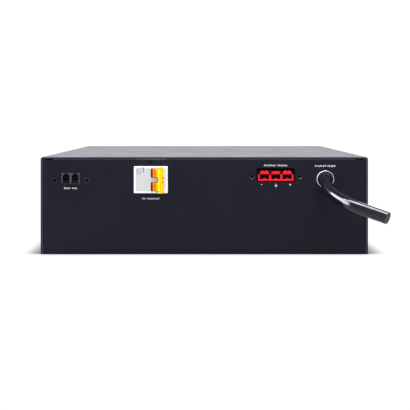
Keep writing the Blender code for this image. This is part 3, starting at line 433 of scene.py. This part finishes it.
def piece(name, shape, look, body, place=(0.0, 0.0, 0.0), smooth=35):
    """Ends a bmesh as a named piece that rides on a body."""
    if not shape.faces:
        raise ValueError(f"{name} has no faces")
    bmesh.ops.recalc_face_normals(shape, faces=shape.faces)
    mesh = bpy.data.meshes.new(name)
    shape.to_mesh(mesh)
    shape.free()
    mesh.materials.append(look)
    mesh.shade_smooth()
    mesh.set_sharp_from_angle(angle=math.radians(smooth))
    made = bpy.data.objects.new(name, mesh)
    made.location = place
    bpy.context.scene.collection.objects.link(made)
    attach(made, body)
    return made


def bar(x, z, width, height, corner=0.5, steps=3):
    """Outline of a bar with rounded corners; corner is a share of its thinner side."""
    radius = min(width, height) / 2 * corner
    points = []
    for turn, (sx, sz) in enumerate(((1, 1), (-1, 1), (-1, -1), (1, -1))):
        for step in range(steps + 1):
            angle = math.radians(90 * turn + 90 * step / steps)
            px = x + sx * (width / 2 - radius) + radius * math.cos(angle)
            pz = z + sz * (height / 2 - radius) + radius * math.sin(angle)
            points.append((px, pz))
    return points


def plates(name, outlines, y, thick, look, body):
    """Flat outlines in X and Z, each made thick towards -Y, as one piece."""
    shape = bmesh.new()
    for outline in outlines:
        face = shape.faces.new([shape.verts.new((px, y, pz)) for px, pz in outline])
        swept = bmesh.ops.extrude_face_region(shape, geom=[face])
        moved = [item for item in swept["geom"] if isinstance(item, bmesh.types.BMVert)]
        bmesh.ops.translate(shape, vec=(0.0, -thick, 0.0), verts=moved)
    return piece(name, shape, look, body)


def print_marks(name, outlines, y, look=None):
    """A thin layer of ink on a face that looks along -Y."""
    return plates(name, outlines, y, INK_THICKNESS, look or WHITE_INK, "case")


def label(name, x, z, width, height, groups):
    """A generic label: a row of small upright strokes and dashes in groups."""
    pitch = width / (sum(groups) + 0.8 * (len(groups) - 1))
    stroke = pitch * 0.36
    outlines = []
    left = x - width / 2
    for count in groups:
        for index in range(count):
            middle = left + pitch * (index + 0.5)
            outlines.append(bar(middle - pitch * 0.24, z, stroke, height))
            level = height * (0.36, 0.0, -0.36)[index % 3]
            outlines.append(bar(middle + pitch * 0.16, z + level, pitch * 0.42, stroke))
        left += pitch * (count + 0.8)
    return print_marks(name, outlines, REAR)


def lathe(shape, profile, steps, place, axis=None):
    """Adds a turned solid to a bmesh: (radius, distance) points, turned about an axis, -Y if none."""
    made = bmesh.new()
    ring = [made.verts.new((radius, 0.0, along)) for radius, along in profile]
    edges = [made.edges.new(pair) for pair in zip(ring, ring[1:])]
    bmesh.ops.spin(made, geom=ring + edges, cent=(0, 0, 0), axis=(0, 0, 1), angle=math.tau,
                   steps=steps, use_merge=True)
    bmesh.ops.remove_doubles(made, verts=made.verts, dist=0.000005)
    turn = Vector(axis or (0.0, -1.0, 0.0)).to_track_quat("Z", "Y").to_matrix().to_4x4()
    bmesh.ops.transform(made, matrix=Matrix.Translation(place) @ turn, verts=made.verts)
    mesh = bpy.data.meshes.new("turned")
    made.to_mesh(mesh)
    made.free()
    shape.from_mesh(mesh)
    bpy.data.meshes.remove(mesh)


def stack(shape, levels):
    """Adds a solid through closed outlines at rising heights: (z, [(x, y), ...]) for each level."""
    rings = [[shape.verts.new((px, py, z)) for px, py in outline] for z, outline in levels]
    for here, there in zip(rings, rings[1:]):
        for index, corner in enumerate(here):
            shape.faces.new((here[index - 1], corner, there[index], there[index - 1]))
    shape.faces.new(rings[0])
    shape.faces.new(rings[-1])


def carve(shape, tool):
    """Cuts one bmesh out of another and returns the result."""
    parts = []
    for label, source in (("carved", shape), ("carver", tool)):
        bmesh.ops.recalc_face_normals(source, faces=source.faces)
        mesh = bpy.data.meshes.new(label)
        source.to_mesh(mesh)
        source.free()
        parts.append(bpy.data.objects.new(label, mesh))
        bpy.context.scene.collection.objects.link(parts[-1])
    cut = parts[0].modifiers.new("cut", "BOOLEAN")
    cut.operation = "DIFFERENCE"
    cut.solver = "EXACT"
    cut.object = parts[1]
    result = bmesh.new()
    result.from_object(parts[0], bpy.context.evaluated_depsgraph_get())
    for part in parts:
        mesh = part.data
        bpy.data.objects.remove(part)
        bpy.data.meshes.remove(mesh)
    return result


def ring_at(shape, point, side, across, radius, steps):
    """A ring of corners round a point, in the plane of two directions."""
    ring = []
    for step in range(steps):
        angle = math.tau * step / steps
        ring.append(shape.verts.new(point + (side * math.cos(angle) + across * math.sin(angle)) * radius))
    return ring


def tube_mesh(shape, line, radius, steps=24, bore=0.0, bore_depth=0.0):
    """Adds a round tube along a line of points, hollow at its end if it has a bore.

    Returns its end: the point, the direction ahead and two directions across it.
    """
    rings = []
    side = None
    for index, point in enumerate(line):
        ahead = line[min(index + 1, len(line) - 1)] - line[max(index - 1, 0)]
        ahead.normalize()
        if side is None:
            side = ahead.orthogonal().normalized()
        side = (side - ahead * side.dot(ahead)).normalized()
        across = ahead.cross(side)
        rings.append(ring_at(shape, point, side, across, radius, steps))
    if bore:
        rings.append(ring_at(shape, line[-1], side, across, bore, steps))
        rings.append(ring_at(shape, line[-1] - ahead * bore_depth, side, across, bore, steps))
    for here, there in zip(rings, rings[1:]):
        for step in range(steps):
            shape.faces.new((here[step - 1], here[step], there[step], there[step - 1]))
    shape.faces.new(rings[0])
    shape.faces.new(rings[-1])
    return line[-1], ahead, side, across


def smooth_line(knots, per_span):
    """Points of a Catmull-Rom line through the knots."""
    knots = [Vector(knot) for knot in knots]
    padded = [knots[0] * 2 - knots[1]] + knots + [knots[-1] * 2 - knots[-2]]
    points = []
    for index in range(1, len(padded) - 2):
        before, here, there, after = padded[index - 1 : index + 3]
        for step in range(per_span):
            t = step / per_span
            points.append(0.5 * (2 * here + (there - before) * t
                                 + (2 * before - 5 * here + 4 * there - after) * t**2
                                 + (3 * here - before - 3 * there + after) * t**3))
    points.append(knots[-1])
    return points


# --------------------------------------------------------------------- prints

jack = centre("jack_block")
breaker = centre("breaker_pole_lower")
output = centre("output_housing")
gland = centre("gland_ring")
label("print_jacks", jack.x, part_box("jack_block")[0].z - 0.0054, 0.0174, 0.0021, (4, 3))
label("print_breaker", breaker.x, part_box("breaker_pole_lower")[0].z - 0.0075, 0.0233, 0.0021, (2, 7))
label("print_output", output.x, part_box("output_housing")[1].z + 0.0065, 0.0316, 0.0021, (7, 6))
label("print_input", gland.x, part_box("gland_ring")[1].z + 0.0060, 0.0278, 0.0021, (7, 5))

# A minus, a plus made of three bars and a ground sign, under the output's three poles
sign_x = output.x + 0.0002
sign_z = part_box("output_housing")[0].z - 0.00505
plus_x = sign_x + 0.0190
symbols = [bar(sign_x - 0.0190, sign_z, 0.0018, 0.0005)]
symbols += [bar(plus_x, sign_z, 0.0024, 0.0007)]
symbols += [bar(plus_x, sign_z + side * 0.0009, 0.0007, 0.0009, 0.2) for side in (-1, 1)]
symbols += [bar(sign_x, sign_z + 0.0001, 0.0007, 0.0014, 0.2)]
for row in range(3):
    symbols.append(bar(sign_x, sign_z - 0.0010 - 0.0009 * row, 0.0038 - 0.0012 * row, 0.0006))
print_marks("print_symbols", symbols, REAR)


# ---------------------------------------------------------------------- cable

gland_mouth = Vector((gland.x, REAR, gland.z))
cable_line = smooth_line([gland_mouth + Vector(knot) for knot in CABLE_KNOTS], 16)
shape = bmesh.new()
cable_end, ahead, side, across = tube_mesh(shape, cable_line, CABLE_RADIUS, 48, CABLE_BORE, CABLE_CUT)
cable = piece("cable_sheath", shape, LOOKS["cable_sheath"], "case")
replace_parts(cable, "battery_input_cable")


def in_cut(angle, distance):
    """An offset from the cable's middle in the plane of its cut end."""
    return (side * math.cos(angle) + across * math.sin(angle)) * distance


# The profiles below are (radius, distance ahead of the cut end)
FILLER_PROFILE = (
    (0.0, -CABLE_CUT),
    (CABLE_BORE, -CABLE_CUT),
    (CABLE_BORE - 0.0004, -0.0009),
    (0.0, -0.0007),
)
CORE_PROFILE = (
    (0.0, -CORE_LENGTH),
    (CORE_RADIUS, -CORE_LENGTH),
    (CORE_RADIUS, -0.0005),
    (CORE_RADIUS - CORE_BEVEL, -0.0003),
    (BUNDLE_RADIUS, -0.0003),
    (BUNDLE_RADIUS, -0.0008),
    (0.0, -0.0008),
)
STRAND_PROFILE = (
    (0.0, -0.0009),
    (STRAND_RADIUS, -0.0009),
    (STRAND_RADIUS, -0.0003),
    (STRAND_RADIUS - STRAND_BEVEL, -0.0001),
    (0.0, -0.0001),
)
shape = bmesh.new()
lathe(shape, FILLER_PROFILE, 32, cable_end, ahead)
piece("cable_filler", shape, FILLER, "case")
strands = bmesh.new()
for turn, (name, look) in enumerate(CORES):
    place = cable_end + in_cut(math.radians(CORES_FIRST_TURN + 120 * turn), CORES_FROM_MIDDLE)
    shape = bmesh.new()
    lathe(shape, CORE_PROFILE, 24, place, ahead)
    piece(f"cable_core_{name}", shape, LOOKS[look], "case")
    for strand in range(6):
        lathe(strands, STRAND_PROFILE, 10, place + in_cut(math.tau * strand / 6, STRANDS_APART), ahead)
    lathe(strands, STRAND_PROFILE, 10, place, ahead)
piece("cable_strands", strands, COPPER, "case")


# -------------------------------------------------------------------- breaker

def from_pivot(points):
    """Turns (outwards, sideways) points into (x, y)."""
    placed = [PIVOT + OUTWARDS * out + SIDEWAYS * aside for out, aside in points]
    return [(point.x, point.y) for point in placed]


def toggle_outline(inset):
    """A ribbed drum with a blade that points outwards."""
    start = math.degrees(math.asin(BLADE_HALF / DRUM_RADIUS)) + 4
    first_rib, last_rib = RIB_SPAN
    steps = 100
    points = []
    for step in range(steps + 1):
        turn = start + (360 - 2 * start) * step / steps
        from_blade = min(turn, 360 - turn)
        radius = DRUM_RADIUS - inset
        if first_rib < from_blade < last_rib:
            radius -= RIB_DEPTH * (0.5 - 0.5 * math.cos(math.tau * (from_blade - first_rib) / RIB_TURN))
        angle = math.radians(turn)
        points.append((radius * math.cos(angle), radius * math.sin(angle)))
    half = BLADE_HALF - inset
    reach = BLADE_REACH - inset
    return points + [(reach, -half), (reach, half)]


def tie_outline(inset, notch=0.0):
    """The tie bar's section: rounded corners, a groove along its outer face, and a notched side."""
    points = bar(0.0, 0.0, 2 * (TIE_HALF.x - inset), 2 * (TIE_HALF.y - inset), 0.5, 4)
    outer = TIE_HALF.x - inset
    floor = outer - TIE_GROOVE
    points += [(outer, -0.0011), (floor, -0.0007), (floor, 0.0005), (outer, 0.0009)]
    return [(TIE_MIDDLE + out, max(aside, notch - TIE_HALF.y) + TIE_SHIFT) for out, aside in points]


for level in ("lower", "upper"):
    low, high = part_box(f"toggle_{level}")
    ends = ((low.z, TOGGLE_BEVEL), (low.z + TOGGLE_BEVEL, 0.0))
    ends += ((high.z - TOGGLE_BEVEL, 0.0), (high.z, TOGGLE_BEVEL))
    shape = bmesh.new()
    stack(shape, [(z, from_pivot(toggle_outline(inset))) for z, inset in ends])
    made = piece(f"breaker_toggle_{level}", shape, LOOKS["toggle_orange"], "toggle")
    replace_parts(made, f"toggle_{level}")

# The tie bar's levels are (height from the pivot, inset, notch), mirrored about the pivot
half = (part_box("toggle_tie_bar")[1].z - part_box("toggle_tie_bar")[0].z) / 2
blade_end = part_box("toggle_upper")[1].z - PIVOT.z
levels = [(-half, 0.0006, 0.0), (0.0003 - half, 0.0002, 0.0), (0.0007 - half, 0.0, 0.0)]
levels += [(-blade_end - NOTCH_LENGTH, 0.0, 0.0), (-blade_end - NOTCH_LENGTH + NOTCH_SLOPE, 0.0, NOTCH)]
levels += [(-blade_end - NOTCH_SLOPE, 0.0, NOTCH), (-blade_end, 0.0, 0.0)]
levels += [(-z, inset, notch) for z, inset, notch in reversed(levels)]
shape = bmesh.new()
stack(shape, [(PIVOT.z + z, from_pivot(tie_outline(inset, notch))) for z, inset, notch in levels])
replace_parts(piece("breaker_tie_bar", shape, LOOKS["tie_yellow"], "toggle"), "toggle_tie_bar")

PIN_PROFILE = ((0.0, -0.0005), (0.0013, -0.0005), (0.0013, 0.00015), (0.0009, 0.0004), (0.0, 0.0005))
pins_middle = PIVOT + OUTWARDS * (TIE_MIDDLE + TIE_HALF.x) + SIDEWAYS * PIN_ASIDE
shape = bmesh.new()
for side_z in (-1, 1):
    lathe(shape, PIN_PROFILE, 20, pins_middle + Vector((0.0, 0.0, side_z * PIN_SPREAD)), OUTWARDS)
piece("breaker_tie_pins", shape, AMBER, "toggle")

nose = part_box("breaker_pole_lower")[0].y
seam = (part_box("breaker_pole_lower")[1].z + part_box("breaker_pole_upper")[0].z) / 2
joint_outline = bar(breaker.x, seam, 2 * NOSE_HALF - 0.0016, POLE_JOINT_HEIGHT)
plates("breaker_pole_joint", [joint_outline], nose + 0.0010, 0.00098, LOOKS["breaker_white"],
       "case")

# Each column of the rating block is (distance right, rows, the row left out, stroke width and height)
RATING_COLUMNS = (
    (0.0, 9, 1, 0.0013, 0.0005),
    (0.0023, 8, 3, 0.0013, 0.0005),
    (0.0046, 10, 4, 0.0013, 0.0005),
    (0.0085, 7, 9, 0.0019, 0.0007),
)
RATING_PITCH = 0.0011
rating_left = breaker.x - 0.0183
rating_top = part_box("breaker_pole_upper")[1].z - 0.00105
marks = []
for offset, count, gap, width, height in RATING_COLUMNS:
    for row in range(count):
        if row != gap:
            marks.append(bar(rating_left + offset, rating_top - RATING_PITCH * row, width, height))
print_marks("print_rating", marks, nose, GREY_INK)


# --------------------------------------------------------------------- screws

def on_panel(node):
    """The point of the rear panel's face under a node's middle."""
    low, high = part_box(node)
    return Vector(((low.x + high.x) / 2, REAR, (low.z + high.z) / 2))


def cross_screw(node, share, look):
    """A domed head with a cross recess in place of a plain one; share of that head's radius and rise."""
    low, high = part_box(node)
    radius = (high.x - low.x) / 2 * share
    rise = (REAR - low.y) * share
    place = on_panel(node)
    profile = [(0.0, rise)]
    for step in range(1, 7):
        lean = math.radians(15 * step)
        profile.append((radius * math.sin(lean), rise * (0.35 + 0.65 * math.cos(lean))))
    profile += [(radius, HEAD_LIFT), (SHANK_RADIUS, HEAD_LIFT)]
    profile += [(SHANK_RADIUS, REAR - high.y), (0.0, REAR - high.y)]
    shape = bmesh.new()
    lathe(shape, profile, 32, place)
    for turn in (0, 90):
        tool = bmesh.new()
        cut = bmesh.ops.create_cube(tool, size=1.0)["verts"]
        for corner in cut:
            deep = corner.co.y > 0
            corner.co.x *= radius * (0.5 if deep else 1.15)
            corner.co.z *= radius * (0.16 if deep else 0.30)
            corner.co.y = (RECESS_DEPTH if deep else -0.0005) - rise
        turned = Matrix.Rotation(math.radians(turn + RECESS_TURN), 3, "Y")
        bmesh.ops.rotate(tool, cent=(0, 0, 0), matrix=turned, verts=cut)
        bmesh.ops.translate(tool, vec=place, verts=cut)
        shape = carve(shape, tool)
    made = piece(f"cross_{node}", shape, look, "case")
    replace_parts(made, node)


def cup_washer(node, look):
    """A dished washer round a screw's head: its lower lip catches the light from above."""
    low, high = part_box(node)
    radius = (high.x - low.x) / 2
    profile = (
        (radius * SUNK_SHARE, 0.0001),
        (radius * 1.12, 0.0001),
        (radius * 1.10, 0.0007),
        (radius * 1.04, 0.0009),
        (radius * 0.66, 0.0003),
        (radius * SUNK_SHARE, 0.0001),
    )
    shape = bmesh.new()
    lathe(shape, profile, 32, on_panel(node))
    piece(f"cup_{node}", shape, look, "case")


cross_screw("breaker_screw", 1.0, SUNK_SCREW)
for owner, cup_look in (("jack", CUP_BLACK), ("output", CUP_NICKEL)):
    for hand in ("left", "right"):
        cross_screw(f"{owner}_screw_{hand}", SUNK_SHARE, SUNK_SCREW)
        cup_washer(f"{owner}_screw_{hand}", cup_look)

ring_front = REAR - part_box("gland_ring")[0].y
ring_profile = (
    (RING_INNER, 0.0003),
    (RING_OUTER, 0.0003),
    (RING_OUTER, ring_front - RING_BEVEL),
    (RING_OUTER - 0.0001, ring_front - 0.0001),
    (RING_RIDGE, ring_front),
    (RING_INNER + 0.0001, ring_front - 0.0001),
    (RING_INNER, ring_front - RING_BEVEL),
    (RING_INNER, 0.0003),
)
shape = bmesh.new()
lathe(shape, ring_profile, 64, gland_mouth)
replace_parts(piece("gland_trim", shape, LOOKS["ring_grey"], "case"), "gland_ring")


# ---------------------------------------------------- connector and jack parts

# Half of a key rib's section, from its foot to its ridge
RIB_HALF = ((0.0022, -0.0001), (0.0013, 0.0008), (0.0005, 0.0016))
rib_section = RIB_HALF + tuple((-dx, dz) for dx, dz in reversed(RIB_HALF))
cavity_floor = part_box("output_housing")[0].z + 0.00235
ribs = []
for pole in (-1, 0, 1):
    ribs.append([(output.x + pole * POLE_PITCH + dx, cavity_floor + dz) for dx, dz in rib_section])
plates("output_key_ribs", ribs, REAR + 0.0160, KEY_RIB_LENGTH, LOOKS["connector_red"],
       "case")

# A jack wire's middle line: (depth behind the panel's face, drop from the jack's middle)
WIRE_KNOTS = ((0.0048, 0.0026), (0.0060, 0.0022), (0.0090, 0.0010), (0.0118, 0.0002))
shape = bmesh.new()
for side_x in (-1, 1):
    for wire in range(4):
        x = jack.x + side_x * JACK_PITCH / 2 + WIRE_PITCH * (wire - 1.5)
        knots = [(x, REAR + depth, jack.z - drop) for depth, drop in WIRE_KNOTS]
        tube_mesh(shape, smooth_line(knots, 4), WIRE_RADIUS, 8)
piece("jack_contacts", shape, GOLD, "case")


# --------------------------------------------------------------------- studio

def area_light(name, place, target, size, power, turn=0):
    """A rectangle of light that faces a target, turned about its middle by some degrees."""
    lamp = bpy.data.lights.new(name, "AREA")
    lamp.shape = "RECTANGLE"
    lamp.size, lamp.size_y = size
    lamp.energy = power
    made = bpy.data.objects.new(name, lamp)
    made.location = place
    facing = (Vector(target) - Vector(place)).to_track_quat("-Z", "Y")
    made.rotation_euler = (facing @ Quaternion((0.0, 0.0, 1.0), math.radians(turn))).to_euler()
    made.visible_camera = False
    bpy.context.scene.collection.objects.link(made)


area_light("strip_top", (-0.05, -0.60, 1.45), (0.10, -0.40, 0.06), (2.4, 0.16), 21.0)
area_light("sheet_top", (0.45, -0.22, 1.46), (0.45, -0.22, 0.06), (1.5, 0.60), 40.0)
area_light("strip_slant", (-0.68, -0.08, 1.46), (-0.68, -0.08, 0.06), (1.3, 0.20), 12.0, -28)
area_light("softbox_front", (0.25, -2.0, 0.95), (0.0, REAR, 0.06), (1.2, 1.2), 9.5)
area_light("softbox_left", (-1.0, -0.08, 0.52), (0.18, -0.26, 0.10), (0.88, 1.00), 40.0)
area_light("softbox_right", (1.5, -0.10, 0.50), (0.0, 0.0, 0.06), (1.0, 0.9), 8.0)

SEEN_WORLD = 1.05
SEEN_FLOOR = 1.04
FRONT_LIGHT = 0.56
SIDE_LIGHT = 0.12
BACK_LIGHT = 2.60
# Where each light of the world starts and is full, as a part of the way along Y or up Z
FRONT_SPAN = (-0.10, -0.75)
BACK_SPAN = (0.30, 0.88)
LOW_SPAN = (0.62, 0.28)


def build_world():
    """White to the camera. For light: a pale front, a bright low band behind and dim elsewhere."""
    world = bpy.data.worlds.new("studio")
    world.use_nodes = True
    tree = world.node_tree
    tree.nodes.clear()

    def ramp(value, span, full):
        made = tree.nodes.new("ShaderNodeMapRange")
        made.interpolation_type = "SMOOTHSTEP"
        for socket, number in zip(made.inputs[1:], (*span, 0.0, full)):
            socket.default_value = number
        tree.links.new(value, made.inputs[0])
        return made.outputs[0]

    def join(operation, first, second):
        made = tree.nodes.new("ShaderNodeMath")
        made.operation = operation
        for socket, value in zip(made.inputs, (first, second)):
            if isinstance(value, float):
                socket.default_value = value
            else:
                tree.links.new(value, socket)
        return made.outputs[0]

    output_node = tree.nodes.new("ShaderNodeOutputWorld")
    seen = tree.nodes.new("ShaderNodeBackground")
    seen.inputs["Color"].default_value = (1.0, 1.0, 1.0, 1.0)
    seen.inputs["Strength"].default_value = SEEN_WORLD
    lit = tree.nodes.new("ShaderNodeBackground")
    lit.inputs["Color"].default_value = (0.97, 0.97, 1.0, 1.0)
    split = tree.nodes.new("ShaderNodeSeparateXYZ")
    place = tree.nodes.new("ShaderNodeTexCoord")
    tree.links.new(place.outputs["Generated"], split.inputs[0])
    front = ramp(split.outputs["Y"], FRONT_SPAN, FRONT_LIGHT)
    behind = ramp(split.outputs["Y"], BACK_SPAN, BACK_LIGHT)
    low = ramp(split.outputs["Z"], LOW_SPAN, 1.0)
    strength = join("ADD", join("ADD", front, SIDE_LIGHT), join("MULTIPLY", behind, low))
    tree.links.new(strength, lit.inputs["Strength"])
    mix = tree.nodes.new("ShaderNodeMixShader")
    path = tree.nodes.new("ShaderNodeLightPath")
    tree.links.new(path.outputs["Is Camera Ray"], mix.inputs[0])
    tree.links.new(lit.outputs[0], mix.inputs[1])
    tree.links.new(seen.outputs[0], mix.inputs[2])
    tree.links.new(mix.outputs[0], output_node.inputs["Surface"])
    bpy.context.scene.world = world


# The floor's contact shadow reaches this far, and is this strong before the case and beside it
SHADOW_REACH = 0.028
FRONT_SHADOW = 0.62
SIDE_SHADOW = 2.5
FLOOR_COLOUR = (0.25, 0.25, 0.25, 1.0)


def build_floor():
    """A pale floor with a soft contact shadow, painted into its glow from ambient occlusion rather than
    cast by the lamps.
    """
    shape = bmesh.new()
    bmesh.ops.create_grid(shape, x_segments=1, y_segments=1, size=30.0)
    mesh = bpy.data.meshes.new("floor")
    shape.to_mesh(mesh)
    shape.free()
    floor = bpy.data.objects.new("floor", mesh)
    bpy.context.scene.collection.objects.link(floor)
    s = Shader("floor")
    near = s.node("ShaderNodeAmbientOcclusion", samples=12)
    near.inputs["Distance"].default_value = SHADOW_REACH
    depth = s.remap(s.axis("Y"), REAR - 0.003, REAR + 0.010, FRONT_SHADOW, SIDE_SHADOW)
    shade = s.maths("POWER", near.outputs["AO"], depth)
    seen = s.node("ShaderNodeEmission")
    s.feed(seen.inputs["Strength"], s.maths("MULTIPLY", shade, SEEN_FLOOR))
    lit = s.node("ShaderNodeBsdfDiffuse")
    lit.inputs["Color"].default_value = FLOOR_COLOUR
    mix = s.node("ShaderNodeMixShader")
    s.feed(mix.inputs[0], s.node("ShaderNodeLightPath").outputs["Is Camera Ray"])
    s.feed(mix.inputs[1], lit.outputs[0])
    s.feed(mix.inputs[2], seen.outputs[0])
    s.feed(s.output.inputs["Surface"], mix.outputs[0])
    mesh.materials.append(s.material)


CAMERA_DISTANCE = 1.4917
CAMERA_HEIGHT = 0.1818
FOCAL_LENGTH = 97.98
SHIFT_RIGHT = 0.0017
SHIFT_UP = -0.2115


def build_camera():
    """A level camera square on to the rear panel, shifted so that the case stands low in the frame."""
    lens = bpy.data.cameras.new("camera")
    lens.lens = FOCAL_LENGTH
    lens.sensor_width = 36.0
    lens.shift_x = SHIFT_RIGHT
    lens.shift_y = SHIFT_UP
    made = bpy.data.objects.new("camera", lens)
    made.location = (0.0, REAR - CAMERA_DISTANCE, CAMERA_HEIGHT)
    made.rotation_euler = (math.radians(90), 0.0, 0.0)
    bpy.context.scene.collection.objects.link(made)
    bpy.context.scene.camera = made


build_world()
build_floor()
build_camera()
bpy.context.scene.view_settings.view_transform = "Standard"
